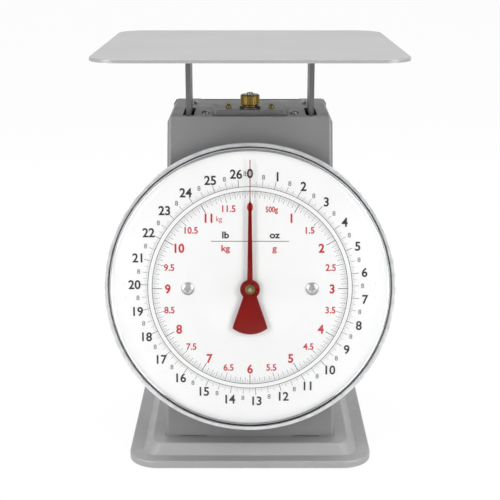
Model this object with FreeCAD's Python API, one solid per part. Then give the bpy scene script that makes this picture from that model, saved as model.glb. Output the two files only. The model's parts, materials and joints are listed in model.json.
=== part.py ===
"""A spring dial scale: a square weighing platform on two legs, over a sheet-steel casing.

Two extension springs hang the moving carrier from an adjustable hanger. The carrier's
rack turns a pinion, and the pinion's arbor turns the pointer in front of the dial.

Millimetres and degrees. The origin is the centre of the footprint on the table.
+Z is up, and the dial faces -Y.
"""
import FreeCAD
import Part
import math
import os

V = FreeCAD.Vector
EX = V(1, 0, 0)
EY = V(0, 1, 0)
EZ = V(0, 0, 1)

# ---------------------------------------------------------------- base
base_width = 197.0
base_depth = 185.5
base_corner = 24.0
base_skirt = 5.7
base_ledge = 11.0
base_rise = 7.8
base_slope_run = 7.0
base_sheet = 1.5
base_edge_round = 1.4
base_ridge_round = 2.0
foot_clear = 1.5
foot_radius = 9.0
foot_inset_x = 32.5
foot_inset_y = 32.5
foot_taper = 1.0

# ---------------------------------------------------------------- casing
casing_height = 260.0
casing_half_top = 65.6
side_lean = 1.01
face_lean = 8.0
casing_front_top_y = -26.3
casing_rear_y = 71.0
casing_sheet = 1.2
bevel_width = 3.0
bevel_height = 4.5
casing_round = 3.5
flange_width = 9.0
flange_front_y = -45.0
flange_rear_y = 62.0
hem_notch_from = 35.5
hem_notch_to = 57.0
hem_notch_height = 0.8
rear_notch_half = 43.0
rear_notch_depth = 8.9
rear_notch_round = 4.0
face_hole_radius = 12.0

# ---------------------------------------------------------------- rear cover
cover_sheet = 1.0
cover_gap = 0.1
cover_flange = 12.0
cover_top_drop = 0.6
cover_tongue = 17.0
cover_tongue_gap = 1.0
cover_flange_drop = 16.0
cover_screw_high = 25.0
cover_screw_low = 45.0

# ---------------------------------------------------------------- chassis
chassis_half = 59.5
chassis_top_sheet = 1.8
chassis_side_sheet = 1.5
chassis_front_y = -20.0
chassis_top_rear_y = 52.0
chassis_side_front_y = 12.0
chassis_foot_width = 13.5
chassis_tab_width = 13.0
chassis_tab_height = 14.0
top_window_half_x = 26.0
top_window_half_y = 10.0

# ---------------------------------------------------------------- platform and carrier
platform_rise = 55.0
tray_side = 232.0
tray_corner = 23.0
tray_sheet = 1.2
tray_lip = 2.6
tray_lip_wall = 1.6
tray_edge_round = 0.8
bracket_half_x = 62.0
bracket_half_y = 24.0
bracket_sheet = 1.8
leg_inner_x = 47.35
leg_flange = 3.9
leg_half_depth = 16.5
leg_sheet = 1.5
leg_tab = 12.5
leg_tab_half_y = 12.0
leg_bottom_z = 72.0
slot_clear_x = 2.5
slot_clear_y = 2.1
travel = 25.9
crossbar_drop = 79.0
crossbar_height = 16.0
crossbar_sheet = 2.0
crossbar_tab = 14.0
rivet_radius = 1.6
rivet_head = 2.8
rivet_head_height = 1.1

# ---------------------------------------------------------------- springs and hanger
spring_x = 24.0
hanger_y = -5.0
spring_mean_radius = 6.9
spring_wire = 2.1
spring_turns = 32
hook_leg = 5.0
hook_gap = 0.35
beam_thickness = 7.6
beam_height = 6.0
hanger_beam_half = 34.0
hanger_beam_drop = 17.0
spring_beam_z = 78.0
stud_radius = 2.5
stud_top = 1.6
stud_slot_width = 0.8
stud_slot_depth = 1.2
knob_radius = 7.8
knob_height = 8.4
knob_chamfer = 0.9
knob_ribs = 30
knob_groove = 0.55
knob_groove_flare = 1.6
knob_collar_radius = 6.0
knob_collar_height = 0.8
washer_radius = 8.5
washer_thickness = 1.8
guide_pin_x = 17.4
guide_pin_y = -2.6
guide_pin_radius = 2.35
guide_pin_stand = 0.5
running_gap = 0.06

# ---------------------------------------------------------------- bridge on the casing's top
bridge_half_x = 30.0
bridge_front_y = -16.4
bridge_rear_y = 23.0
bridge_height = 3.7
bridge_sheet = 1.4
bridge_corner = 3.0
front_screw_x = 35.8
front_screw_y = -9.3
rear_screw_x = 47.3
rear_screw_y = 42.6

# ---------------------------------------------------------------- dial head, outward from the casing's face
dial_drop = 136.0
dial_radius = 112.1
dial_sheet = 0.8
dial_stand = 12.2
pan_sheet = 1.0
pan_wall_margin = 0.8
pan_flare = 8.9
pan_depth = 13.0
pan_hole_radius = 36.0
rim_width = 2.2
bezel_margin = 1.3
bezel_lip_margin = 1.1
bezel_sheet = 1.0
bezel_curve = 0.8
bezel_wall_gap = 0.1
bezel_rear_gap = 0.5
gasket_thickness = 0.6
gasket_margin = 0.3
cover_wall = 1.5
cover_rim = 1.4
cover_rise = 11.0
cover_shoulder = 9.0
cover_crown = 2.0
cover_lip_gap = 0.5
cover_skirt_gap = 0.4
dial_screw_x = 49.7
dial_screw_radius = 5.15
dial_screw_height = 1.9
dial_post_radius = 4.0
dial_hole_radius = 4.0
pan_screw_x = 34.0
pan_screw_u = 34.0

# ---------------------------------------------------------------- movement
plate_sheet = 1.5
front_plate_half_x = 34.0
front_plate_half_u = 14.0
rear_plate_half_x = 20.0
rear_plate_half_u = 12.0
plate_gap = 21.3
post_x = 16.0
post_u = 8.0
post_radius = 2.0
plate_screw_x = 28.0
arbor_radius = 1.5
arbor_end = 2.0
bush_radius = 3.2
bush_length = 3.0
gear_module = 0.5
pinion_teeth = 16
pressure_angle = 20.0
tooth_height = 0.8
root_depth = 1.25
backlash = 0.16
pinion_start = 8.0
pinion_length = 12.0
rack_body = 4.4
rack_front_y = -34.0
rack_thickness = 4.0
rack_below_axis = 9.0
rack_above_axis = 53.0
rack_bracket_sheet = 1.5
rack_foot = 12.0

# ---------------------------------------------------------------- pointer
pointer_stand = 3.4
pointer_sheet = 0.6
pointer_disc = 7.9
pointer_root_half = 2.3
pointer_waist_half = 1.3
pointer_waist = 66.6
pointer_hair = 71.0
pointer_hair_half = 0.35
pointer_tip_gap = 9.3
tail_neck_half = 5.35
tail_half = 14.1
tail_shoulder = 31.4
tail_reach = 36.4
hub_radius = 4.1
hub_length = 4.0
hub_cap_length = 2.4
hub_cap_edge = 1.4
hub_bevel = 0.8
hub_collar_radius = 3.1
hub_collar_length = 1.2

# ---------------------------------------------------------------- parallel arms
arm_shaft_y = 58.0
arm_shaft_radius = 2.5
arm_tube_radius = 4.6
arm_bar_x = 54.0
arm_bar_sheet = 1.5
arm_bar_half = 5.0
arm_pin_y = -8.0
arm_pin_radius = 2.0
arm_pin_head = 3.4
arm_slot_gap = 0.3
upper_arm_drop = 50.0
lower_arm_z = 105.0
clip_radius = 4.5
clip_thickness = 0.8

# ---------------------------------------------------------------- overload stop
stop_half_x = 10.0
stop_half_y = 5.0
stop_sheet = 2.0
stop_foot = 6.0
stop_clear = 0.4

# ---------------------------------------------------------------- small allowances
cut_past = 5.0
join_lap = 0.1
touch = 0.01

# ---------------------------------------------------------------- fasteners
pan_head_shoulder = 0.72
pan_head_shoulder_rise = 0.84
pan_head_rim_rise = 0.35
recess_reach = 0.5
recess_half_width = 0.12
recess_floor = 0.45
base_screw_radius = 2.0
base_screw_head = 3.6
base_screw_head_height = 2.2
base_screw_length = 5.5
base_screw_front_y = -30.0
base_screw_rear_y = 38.0
foot_screw_front_y = 22.0
foot_screw_rear_y = 60.0
top_screw_radius = 2.0
top_screw_head = 3.25
top_screw_head_height = 2.1
top_screw_length = 6.0
small_screw_radius = 1.5
small_screw_head = 2.8
small_screw_head_height = 1.7
small_screw_length = 5.0
beam_bolt_length = 10.0
rack_rivet_radius = 0.9
rack_rivet_head = 1.6
rack_rivet_head_height = 0.8
rack_rivet_from_top = 4.0
rack_rivet_spacing = 6.0
rivet_share = 0.26
tab_screw_edge_x = 4.0
tab_screw_edge_y = 4.5

# ---------------------------------------------------------------- levels and places that follow
ledge_z = foot_clear + base_skirt
plateau_z = ledge_z + base_rise
casing_top_z = plateau_z + casing_height
tray_top_z = casing_top_z + platform_rise
tray_under_z = tray_top_z - tray_sheet
bracket_under_z = tray_under_z - bracket_sheet
leg_top_z = bracket_under_z
upper_arm_z = casing_top_z - upper_arm_drop
chassis_top_z = casing_top_z - casing_sheet
chassis_under_z = chassis_top_z - chassis_top_sheet
chassis_rear_y = casing_rear_y + cover_gap
bridge_top_z = casing_top_z + bridge_height
knob_seat_z = bridge_top_z + washer_thickness
knob_top_z = knob_seat_z + knob_collar_height + knob_height
hanger_beam_top_z = casing_top_z - hanger_beam_drop + beam_height
crossbar_z = casing_top_z - crossbar_drop - crossbar_height
leg_outer_x = leg_inner_x + leg_flange
arm_half_rise = travel / 2
dial_front = pan_sheet + dial_stand + dial_sheet
pan_wall_radius = dial_radius + pan_wall_margin
pan_back_radius = pan_wall_radius - pan_flare
rim_radius = pan_wall_radius + rim_width
bezel_radius = rim_radius + bezel_margin
bezel_lip_radius = dial_radius + bezel_lip_margin
gasket_inner_radius = dial_radius + gasket_margin
pointer_reach = dial_radius - pointer_tip_gap
rim_front = pan_depth
gasket_front = rim_front + gasket_thickness
cover_rim_front = gasket_front + cover_rim
pitch_radius = gear_module * pinion_teeth / 2
pointer_back = dial_front + pointer_stand
rear_plate_v = -casing_sheet - plate_sheet - plate_gap

lean = math.radians(face_lean)
dial_y = casing_front_top_y - dial_drop * math.sin(lean)
dial_z = casing_top_z - dial_drop * math.cos(lean)
dial_place = FreeCAD.Placement(V(0, dial_y, dial_z), FreeCAD.Rotation(EX, -face_lean))


# ---------------------------------------------------------------- plain shapes
def block(x0, x1, y0, y1, z0, z1):
    """A box between three pairs of limits."""
    return Part.makeBox(x1 - x0, y1 - y0, z1 - z0, V(x0, y0, z0))


def rod(start, end, radius):
    """A round bar between two points."""
    along = end - start
    return Part.makeCylinder(radius, along.Length, start, along)


def polygon_face(points):
    """A flat face inside a closed polygon."""
    return Part.Face(Part.makePolygon(points + [points[0]]))


def rounded_rect(half_x, half_y, radius, z):
    """A rectangle with round corners, centred on the Z axis."""
    centres = [(1, 1), (-1, 1), (-1, -1), (1, -1)]
    arcs = []
    for quarter, (side_x, side_y) in enumerate(centres):
        points = []
        for step in range(3):
            angle = math.radians(90 * quarter + 45 * step)
            x = side_x * (half_x - radius) + radius * math.cos(angle)
            y = side_y * (half_y - radius) + radius * math.sin(angle)
            points.append(V(x, y, z))
        arcs.append(points)
    edges = []
    for index, (start, middle, end) in enumerate(arcs):
        edges.append(Part.Arc(start, middle, end).toShape())
        edges.append(Part.LineSegment(end, arcs[(index + 1) % 4][0]).toShape())
    return Part.Wire(edges)


def plate(half_x, half_y, radius, z, thickness):
    """A flat plate with round corners, centred on the Z axis."""
    return Part.Face(rounded_rect(half_x, half_y, radius, z)).extrude(V(0, 0, thickness))


def edges_where(shape, test):
    """The edges whose two ends both pass a test."""
    found = []
    for edge in shape.Edges:
        if all(test(vertex.Point) for vertex in edge.Vertexes):
            found.append(edge)
    return found


def mirrored(shape):
    """The same piece on the other side of the centre plane."""
    return shape.mirror(V(0, 0, 0), EX)


def both_sides(shape):
    """A piece and its mirror image."""
    return [shape, mirrored(shape)]


def aimed(shape, place, direction):
    """A shape built along +Z at the origin, moved to a place and turned to a direction."""
    out = shape.copy()
    out.Placement = FreeCAD.Placement(place, FreeCAD.Rotation(EZ, direction))
    return out


# ---------------------------------------------------------------- shapes in the dial's own frame
# There X is right, -Y is straight out of the dial and Z is up the casing's face.
def on_dial(shape):
    """Carry a shape from the dial's own frame to its place on the leaning face."""
    out = shape.copy()
    out.Placement = dial_place.multiply(out.Placement)
    return out


def dial_point(x, out, up):
    """A point in the object's frame, given in the dial's own frame."""
    return dial_place.multVec(V(x, -out, up))


def dial_rod(x, up, start, end, radius):
    """A round bar along the dial's axis, from one stand-off to another."""
    return on_dial(rod(V(x, -start, up), V(x, -end, up), radius))


def dial_slab(half_x, half_up, start, end):
    """A flat plate parallel to the dial."""
    return on_dial(block(-half_x, half_x, -end, -start, -half_up, half_up))


def dial_turned(edges):
    """Turn a closed outline of (radius, stand-off) edges about the dial's axis."""
    face = Part.Face(Part.Wire(edges))
    return on_dial(face.revolve(V(0, 0, 0), EY, 360))


def out_point(radius, out):
    """One point of a turned outline."""
    return V(radius, -out, 0)


def dial_ring(points):
    """Turn a closed polygon of (radius, stand-off) points about the dial's axis."""
    corners = [out_point(radius, out) for radius, out in points]
    edges = []
    for index, corner in enumerate(corners):
        edges.append(Part.LineSegment(corner, corners[(index + 1) % len(corners)]).toShape())
    return dial_turned(edges)


# ---------------------------------------------------------------- fasteners
def pan_screw(head_radius, head_height, shank_radius, shank_length):
    """A cross-recessed pan-head screw: its head stands on z=0 and its shank points down."""
    top = V(0, 0, head_height)
    shoulder = V(head_radius * pan_head_shoulder, 0, head_height * pan_head_shoulder_rise)
    rim = V(head_radius, 0, head_height * pan_head_rim_rise)
    edges = [
        Part.Arc(top, shoulder, rim).toShape(),
        Part.LineSegment(rim, V(head_radius, 0, 0)).toShape(),
        Part.LineSegment(V(head_radius, 0, 0), V(shank_radius, 0, 0)).toShape(),
        Part.LineSegment(V(shank_radius, 0, 0), V(shank_radius, 0, -shank_length)).toShape(),
        Part.LineSegment(V(shank_radius, 0, -shank_length), V(0, 0, -shank_length)).toShape(),
        Part.LineSegment(V(0, 0, -shank_length), top).toShape(),
    ]
    screw = Part.Face(Part.Wire(edges)).revolve(V(0, 0, 0), EZ, 360)
    arm = head_radius * recess_reach
    width = head_radius * recess_half_width
    floor = head_height * recess_floor
    screw = screw.cut(block(-arm, arm, -width, width, floor, head_height * 2))
    return screw.cut(block(-width, width, -arm, arm, floor, head_height * 2))


def rivet(grip):
    """A round-head rivet along +Z through a stack of sheets, with a head at each end."""
    shank = Part.makeCylinder(rivet_radius, grip)
    near = Part.makeCylinder(rivet_head, rivet_head_height, V(0, 0, -rivet_head_height))
    far = Part.makeCylinder(rivet_head, rivet_head_height, V(0, 0, grip))
    return shank.fuse([near, far]).removeSplitter()


# ---------------------------------------------------------------- base
def base_form(inset):
    """The pressed base's outer form, or with an inset the hollow under its sheet."""
    half_x = base_width / 2
    half_y = base_depth / 2
    foot_x = half_x - base_ledge
    foot_y = half_y - base_ledge
    top_x = foot_x - base_slope_run
    top_y = foot_y - base_slope_run
    skirt_low = foot_clear - inset
    skirt = plate(half_x - inset, half_y - inset, base_corner - inset, skirt_low, ledge_z - foot_clear)
    foot = rounded_rect(foot_x - inset, foot_y - inset, base_corner - base_ledge - inset, ledge_z - inset)
    top_corner = base_corner - base_ledge - base_slope_run / 2
    top = rounded_rect(top_x - inset, top_y - inset, top_corner - inset, plateau_z - inset)
    hill = Part.makeLoft([foot, top], True, True)
    return skirt.fuse(hill).removeSplitter()


def base_pan():
    """The pressed steel base: a skirt, a flat ledge and a raised plateau, open underneath."""
    form = base_form(0)
    skirt_top = edges_where(form, lambda p: abs(p.z - ledge_z) < touch and on_base_edge(p))
    form = form.makeFillet(base_edge_round, skirt_top)
    ridge = edges_where(form, lambda p: abs(p.z - plateau_z) < touch)
    form = form.makeFillet(base_ridge_round, ridge)
    pan = form.cut(base_form(base_sheet))
    for x, y in base_screw_places():
        pan = pan.cut(rod(V(x, y, 0), V(x, y, plateau_z + 1), base_screw_radius + running_gap))
    return pan


def on_base_edge(point):
    """True at the base's outline, false on the foot of the hill."""
    margin = base_ledge / 2
    return abs(point.x) > base_width / 2 - margin or abs(point.y) > base_depth / 2 - margin \
        or math.hypot(abs(point.x) - base_width / 2 + base_corner,
                      abs(point.y) - base_depth / 2 + base_corner) > base_corner - margin


def base_screw_places():
    """Screws through the plateau: outer ones hold the casing, inner ones the chassis."""
    casing_x = casing_half(plateau_z) - casing_sheet - flange_width / 2
    chassis_x = chassis_half - chassis_side_sheet - chassis_foot_width / 2
    return [(side * x, y) for side in (-1, 1) for x, y in (
        (casing_x, base_screw_front_y), (casing_x, base_screw_rear_y),
        (chassis_x, foot_screw_front_y), (chassis_x, foot_screw_rear_y))]


def base_screws():
    """Screws driven up from under the plateau."""
    screw = pan_screw(base_screw_head, base_screw_head_height, base_screw_radius, base_screw_length)
    under = plateau_z - base_sheet
    return [aimed(screw, V(x, y, under), V(0, 0, -1)) for x, y in base_screw_places()]


def rubber_feet():
    """Four turned rubber feet, pushed up against the underside of the plateau."""
    x = base_width / 2 - foot_inset_x
    y = base_depth / 2 - foot_inset_y
    height = plateau_z - base_sheet
    feet = []
    for side_x in (-1, 1):
        for side_y in (-1, 1):
            place = V(side_x * x, side_y * y, 0)
            foot = Part.makeCone(foot_radius - foot_taper, foot_radius, height, place)
            feet.append(foot)
    return feet


# ---------------------------------------------------------------- casing
def casing_half(z):
    """Half the casing's width at a height: its sides flare a little downward."""
    return casing_half_top + (casing_top_z - z) * math.tan(math.radians(side_lean))


def face_y(z, inset=0.0):
    """Where the leaning front face is at a height."""
    return casing_front_top_y - (casing_top_z - z) * math.tan(lean) + inset / math.cos(lean)


def casing_outline(offset, low_z):
    """The casing seen from the front, grown or shrunk by an offset."""
    fold_z = casing_top_z - bevel_height
    half_fold = casing_half(fold_z)
    side = [(casing_half(low_z), low_z), (half_fold, fold_z), (half_fold - bevel_width, casing_top_z)]
    points = [V(x, 0, z) for x, z in side]
    points += [V(-x, 0, z) for x, z in reversed(side)]
    face = polygon_face(points)
    if offset:
        face = Part.Face(face.makeOffset2D(offset, 2).OuterWire)
    return face


def along_depth(face, y0, y1):
    """A face in the XZ plane stretched from one depth to another."""
    moved = face.copy()
    moved.translate(V(0, y0, 0))
    return moved.extrude(V(0, y1 - y0, 0))


def casing_block(inset, low_z, rear_y):
    """The casing's wedge as one solid block, shrunk by an inset, with its front folds rounded."""
    top = casing_top_z + 1
    front = dial_y - casing_height
    body = along_depth(casing_outline(-inset, low_z), front, rear_y)
    low = low_z - cut_past
    side = polygon_face([V(0, face_y(low, inset), low), V(0, face_y(top, inset), top),
                         V(0, rear_y + 1, top), V(0, rear_y + 1, low)])
    side.translate(V(-base_width, 0, 0))
    wedge = body.common(side.extrude(V(base_width * 2, 0, 0)))
    fold_z = casing_top_z - bevel_height - inset * 2

    def at_face(point):
        return abs(point.y - face_y(point.z, inset)) < touch

    corners = [edge for edge in edges_where(wedge, at_face) if abs(edge.CenterOfMass.x) > bevel_width
               and edge.CenterOfMass.z < fold_z]
    corners = [edge for edge in corners if edge.Length > casing_height / 2]
    return wedge.makeFillet(casing_round - inset, corners)


def leg_window(clear, z0, z1):
    """The two openings that the legs pass through."""
    opening = block(leg_inner_x - clear, leg_outer_x + clear, -leg_half_depth - slot_clear_y,
                    leg_half_depth + slot_clear_y, z0, z1)
    return both_sides(opening)


def top_window(z0, z1):
    """The opening under the bridge for the hanger's stud and guide pins."""
    return block(-top_window_half_x, top_window_half_x, hanger_y - top_window_half_y,
                 hanger_y + top_window_half_y, z0, z1)


def top_screw_places():
    """The screws that show on the casing's top."""
    places = []
    for side in (-1, 1):
        places.append((side * front_screw_x, front_screw_y))
        places.append((side * rear_screw_x, rear_screw_y))
    return places


def casing():
    """The folded casing: front, two sides and a top in one sheet, open behind and below."""
    shell = casing_block(0, plateau_z, casing_rear_y)
    shell = shell.cut(casing_block(casing_sheet, plateau_z - cut_past, casing_rear_y + cut_past))
    half = casing_half(plateau_z)
    flange = block(half - casing_sheet - flange_width, half - casing_sheet / 2, flange_front_y, flange_rear_y,
                   plateau_z, plateau_z + casing_sheet)
    shell = shell.fuse(both_sides(flange)).removeSplitter()
    low = casing_top_z - casing_sheet - 1
    high = casing_top_z + 1
    cuts = leg_window(slot_clear_x, low, high)
    cuts.append(top_window(low, high))
    for x, y in top_screw_places():
        cuts.append(rod(V(x, y, low), V(x, y, high), top_screw_radius + running_gap))
    notch = plate(rear_notch_half, rear_notch_depth + rear_notch_round, rear_notch_round, low, high - low)
    notch.translate(V(0, casing_rear_y + rear_notch_round, 0))
    cuts.append(notch)
    for side in (-1, 1):
        x0, x1 = sorted((side * hem_notch_from, side * hem_notch_to))
        cuts.append(block(x0, x1, dial_y - base_depth, 0, plateau_z - 1, plateau_z + hem_notch_height))
    cuts.append(dial_rod(0, 0, -casing_sheet - 1, 1, face_hole_radius))
    for x, up in pan_screw_places():
        cuts.append(dial_rod(x, up, -casing_sheet - 1, 1, small_screw_radius + running_gap))
    for side in (-1, 1):
        cuts.append(dial_rod(side * plate_screw_x, 0, -casing_sheet - 1, 1,
                             small_screw_radius + running_gap))
    for x, y in base_screw_places():
        cuts.append(rod(V(x, y, plateau_z - 1), V(x, y, plateau_z + 3), base_screw_radius + running_gap))
    return shell.cut(cuts)


def top_screws():
    """Four cross-recessed screws through the casing's top into the chassis."""
    screw = pan_screw(top_screw_head, top_screw_head_height, top_screw_radius, top_screw_length)
    screws = []
    for x, y in top_screw_places():
        screws.append(aimed(screw, V(x, y, casing_top_z), EZ))
    return screws


# ---------------------------------------------------------------- rear cover
def rear_cover():
    """The back panel, with side flanges outside the casing and a tongue under its top."""
    grown = casing_outline(cover_gap + cover_sheet, plateau_z + cover_gap + cover_sheet)
    bore = casing_outline(cover_gap, plateau_z - cut_past)
    front = casing_rear_y - cover_flange
    back = casing_rear_y + cover_gap
    top = casing_top_z - cover_top_drop
    shell = along_depth(grown, front, back + cover_sheet)
    shell = shell.cut(along_depth(bore, front - 1, back))
    high = casing_top_z - cover_flange_drop
    shell = shell.cut(block(-base_width, base_width, front - 1, back, high, casing_top_z + cut_past))
    shell = shell.cut(block(-base_width, base_width, back - 1, back + cut_past,
                            top, casing_top_z + cut_past))
    tongue_top = casing_top_z - casing_sheet - cover_gap
    tongue = block(-rear_notch_half + cover_tongue_gap, rear_notch_half - cover_tongue_gap,
                   back - cover_tongue, back + cover_sheet / 2, tongue_top - cover_sheet, tongue_top)
    shell = shell.fuse(tongue).removeSplitter()
    for place in cover_screw_places():
        shell = shell.cut(rod(place - EY * cut_past, place + EY * cut_past,
                              small_screw_radius + running_gap))
    return shell


def cover_screw_places():
    """Where the back panel is fastened, on its outer face."""
    x = chassis_half - chassis_tab_width / 2
    y = casing_rear_y + cover_gap + cover_sheet
    heights = (plateau_z + cover_screw_low, casing_top_z - cover_screw_high)
    return [V(side * x, y, z) for side in (-1, 1) for z in heights]


def rear_cover_screws():
    """Four screws through the back panel into the chassis's tabs."""
    screw = pan_screw(small_screw_head, small_screw_head_height, small_screw_radius, small_screw_length)
    return [aimed(screw, place, EY) for place in cover_screw_places()]


# ---------------------------------------------------------------- chassis
def chassis():
    """The load-bearing inner frame: a top plate on two side plates that stand on the base."""
    top = block(-chassis_half, chassis_half, chassis_front_y, chassis_top_rear_y,
                chassis_under_z, chassis_top_z)
    side = block(chassis_half - chassis_side_sheet, chassis_half, chassis_side_front_y,
                 chassis_rear_y, plateau_z, chassis_top_z)
    foot = block(chassis_half - chassis_foot_width, chassis_half, chassis_side_front_y,
                 chassis_rear_y, plateau_z, plateau_z + chassis_side_sheet)
    parts = both_sides(side) + both_sides(foot)
    for place in cover_screw_places():
        x0, x1 = sorted((math.copysign(chassis_half, place.x),
                         math.copysign(chassis_half - chassis_tab_width, place.x)))
        parts.append(block(x0, x1, chassis_rear_y - chassis_side_sheet, chassis_rear_y,
                           place.z - chassis_tab_height / 2, place.z + chassis_tab_height / 2))
    frame = top.fuse(parts).removeSplitter()
    cuts = leg_window(slot_clear_x, chassis_under_z - 1, chassis_top_z + 1)
    cuts.append(top_window(chassis_under_z - 1, chassis_top_z + 1))
    for x, y in top_screw_places():
        cuts.append(rod(V(x, y, chassis_under_z - 1), V(x, y, chassis_top_z + 1),
                        top_screw_radius + running_gap))
    for z in (upper_arm_z, lower_arm_z):
        cuts.append(rod(V(-base_width, arm_shaft_y, z), V(base_width, arm_shaft_y, z),
                        arm_shaft_radius + running_gap))
    for x, y in base_screw_places():
        cuts.append(rod(V(x, y, plateau_z - 1), V(x, y, plateau_z + 3), base_screw_radius + running_gap))
    for place in cover_screw_places():
        cuts.append(rod(place - EY * cut_past, place + EY, small_screw_radius + running_gap))
    return frame.cut(cuts)


# ---------------------------------------------------------------- bridge and zero adjuster
def hanger_bridge():
    """The shallow pressed bridge on the casing's top that carries the zero adjuster."""
    depth = bridge_rear_y - bridge_front_y
    middle_y = (bridge_rear_y + bridge_front_y) / 2
    form = plate(bridge_half_x, depth / 2, bridge_corner, casing_top_z, bridge_height)
    top_edges = edges_where(form, lambda p: p.z > casing_top_z + bridge_height / 2)
    form = form.makeFillet(bridge_sheet / 2, top_edges)
    hollow = plate(bridge_half_x - bridge_sheet, depth / 2 - bridge_sheet,
                   bridge_corner - bridge_sheet, casing_top_z - 1, bridge_height + 1 - bridge_sheet)
    bridge = form.cut(hollow)
    bridge.translate(V(0, middle_y, 0))
    high = bridge_top_z + 1
    cuts = [rod(V(0, hanger_y, casing_top_z), V(0, hanger_y, high), stud_radius + running_gap)]
    for side in (-1, 1):
        x = side * guide_pin_x
        cuts.append(rod(V(x, guide_pin_y, casing_top_z), V(x, guide_pin_y, high),
                        guide_pin_radius + running_gap))
    return bridge.cut(cuts)


def knob_washer():
    """The steel washer that the knob turns on."""
    seat = V(0, hanger_y, bridge_top_z)
    ring = Part.makeCylinder(washer_radius, washer_thickness, seat)
    top = edges_where(ring, lambda p: p.z > bridge_top_z + washer_thickness / 2)
    ring = ring.makeChamfer(washer_thickness / 3, top[:1])
    return ring.cut(Part.makeCylinder(stud_radius + running_gap * 2, washer_thickness * 3, seat - EZ))


def zero_knob():
    """The brass thumb nut: a knurled drum with chamfered rims on a plain collar."""
    base = knob_seat_z + knob_collar_height
    outline = [V(0, 0, base), V(knob_radius - knob_chamfer, 0, base), V(knob_radius, 0, base + knob_chamfer),
               V(knob_radius, 0, knob_top_z - knob_chamfer), V(knob_radius - knob_chamfer, 0, knob_top_z),
               V(0, 0, knob_top_z)]
    drum = polygon_face(outline).revolve(V(0, 0, 0), EZ, 360)
    grooves = []
    for rib in range(knob_ribs):
        angle = 360.0 * rib / knob_ribs
        mouth = knob_groove * knob_groove_flare
        cutter = polygon_face([V(knob_radius - knob_groove, 0, base - 1),
                               V(knob_radius + knob_groove, -mouth, base - 1),
                               V(knob_radius + knob_groove, mouth, base - 1)])
        groove = cutter.extrude(V(0, 0, knob_height + 2))
        groove.rotate(V(0, 0, 0), EZ, angle)
        grooves.append(groove)
    drum = drum.cut(grooves)
    collar = Part.makeCylinder(knob_collar_radius, knob_collar_height + join_lap, V(0, 0, knob_seat_z))
    knob = drum.fuse(collar).removeSplitter()
    knob = knob.cut(Part.makeCylinder(stud_radius + running_gap, knob_top_z, V(0, 0, knob_seat_z - 1)))
    knob.translate(V(0, hanger_y, 0))
    return knob


def hanger_stud():
    """The slotted stud that the thumb nut lifts."""
    low = hanger_beam_top_z - beam_height
    high = knob_top_z + stud_top
    stud = rod(V(0, hanger_y, low), V(0, hanger_y, high), stud_radius)
    tip = edges_where(stud, lambda p: p.z > high - 1)
    stud = stud.makeChamfer(stud_slot_width / 2, tip[:1])
    slot = block(-stud_radius * 2, stud_radius * 2, hanger_y - stud_slot_width / 2,
                 hanger_y + stud_slot_width / 2, high - stud_slot_depth, high + 1)
    return stud.cut(slot)


def hanger_beam():
    """The cross beam that the springs hang from."""
    low = hanger_beam_top_z - beam_height
    beam = block(-hanger_beam_half, hanger_beam_half, hanger_y - beam_thickness / 2,
                 hanger_y + beam_thickness / 2, low, hanger_beam_top_z)
    beam = beam.cut(rod(V(0, hanger_y, low - 1), V(0, hanger_y, hanger_beam_top_z + 1), stud_radius))
    return beam


def hanger_guide_pins():
    """Two brass pins that keep the hanger from turning: their domed ends stand out of the bridge."""
    shoulder = bridge_top_z + guide_pin_stand
    pins = []
    for side in (-1, 1):
        x = side * guide_pin_x
        pin = rod(V(x, guide_pin_y, hanger_beam_top_z), V(x, guide_pin_y, shoulder), guide_pin_radius)
        dome = Part.makeSphere(guide_pin_radius, V(x, guide_pin_y, shoulder), EZ, 0, 90, 360)
        pins.append(pin.fuse(dome).removeSplitter())
    return pins


# ---------------------------------------------------------------- springs
def spring_levels():
    """The heights of the spring coil's two ends."""
    inner = spring_mean_radius - spring_wire / 2
    reach = math.sqrt(inner ** 2 - (beam_thickness / 2) ** 2) - hook_gap
    coil_top = hanger_beam_top_z - reach - hook_leg
    coil_low = spring_beam_z + reach + hook_leg
    return coil_low, coil_top


def spring_hook():
    """A hook above z=0: a straight leg, a half turn over the beam and a short return."""
    radius = spring_mean_radius
    leg = rod(V(radius, 0, -spring_wire / 4), V(radius, 0, hook_leg), spring_wire / 2)
    section = Part.makeCircle(spring_wire / 2, V(radius, 0, hook_leg), EZ)
    turn = Part.Face(Part.Wire(section)).revolve(V(0, 0, hook_leg), V(0, -1, 0), 180)
    back = rod(V(-radius, 0, hook_leg), V(-radius, 0, hook_leg / 2), spring_wire / 2)
    return leg.fuse([turn, back]).removeSplitter()


def spring(side):
    """One extension spring: an open coil with a hook at each end."""
    coil_low, coil_top = spring_levels()
    length = coil_top - coil_low
    path = Part.makeHelix(length / spring_turns, length, spring_mean_radius)
    section = Part.makeCircle(spring_wire / 2, V(spring_mean_radius, 0, 0), EY)
    coil = Part.Wire(path).makePipeShell([Part.Wire(section)], True, True)
    upper = spring_hook()
    upper.translate(V(0, 0, length))
    lower = spring_hook()
    lower.rotate(V(0, 0, 0), EX, 180)
    whole = coil.fuse([upper, lower])
    whole.rotate(V(0, 0, 0), EZ, 90)
    whole.translate(V(side * spring_x, hanger_y, coil_low))
    return whole


# ---------------------------------------------------------------- platform and carrier
def platform_tray():
    """The square weighing platform: a flat sheet with a turned-down lip and round corners."""
    half = tray_side / 2
    form = plate(half, half, tray_corner, tray_top_z - tray_lip, tray_lip)
    top_edges = edges_where(form, lambda p: p.z > tray_top_z - tray_lip / 2)
    form = form.makeFillet(tray_edge_round, top_edges)
    hollow = plate(half - tray_lip_wall, half - tray_lip_wall, tray_corner - tray_lip_wall,
                   tray_top_z - tray_lip - 1, tray_lip + 1 - tray_sheet)
    return form.cut(hollow)


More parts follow.
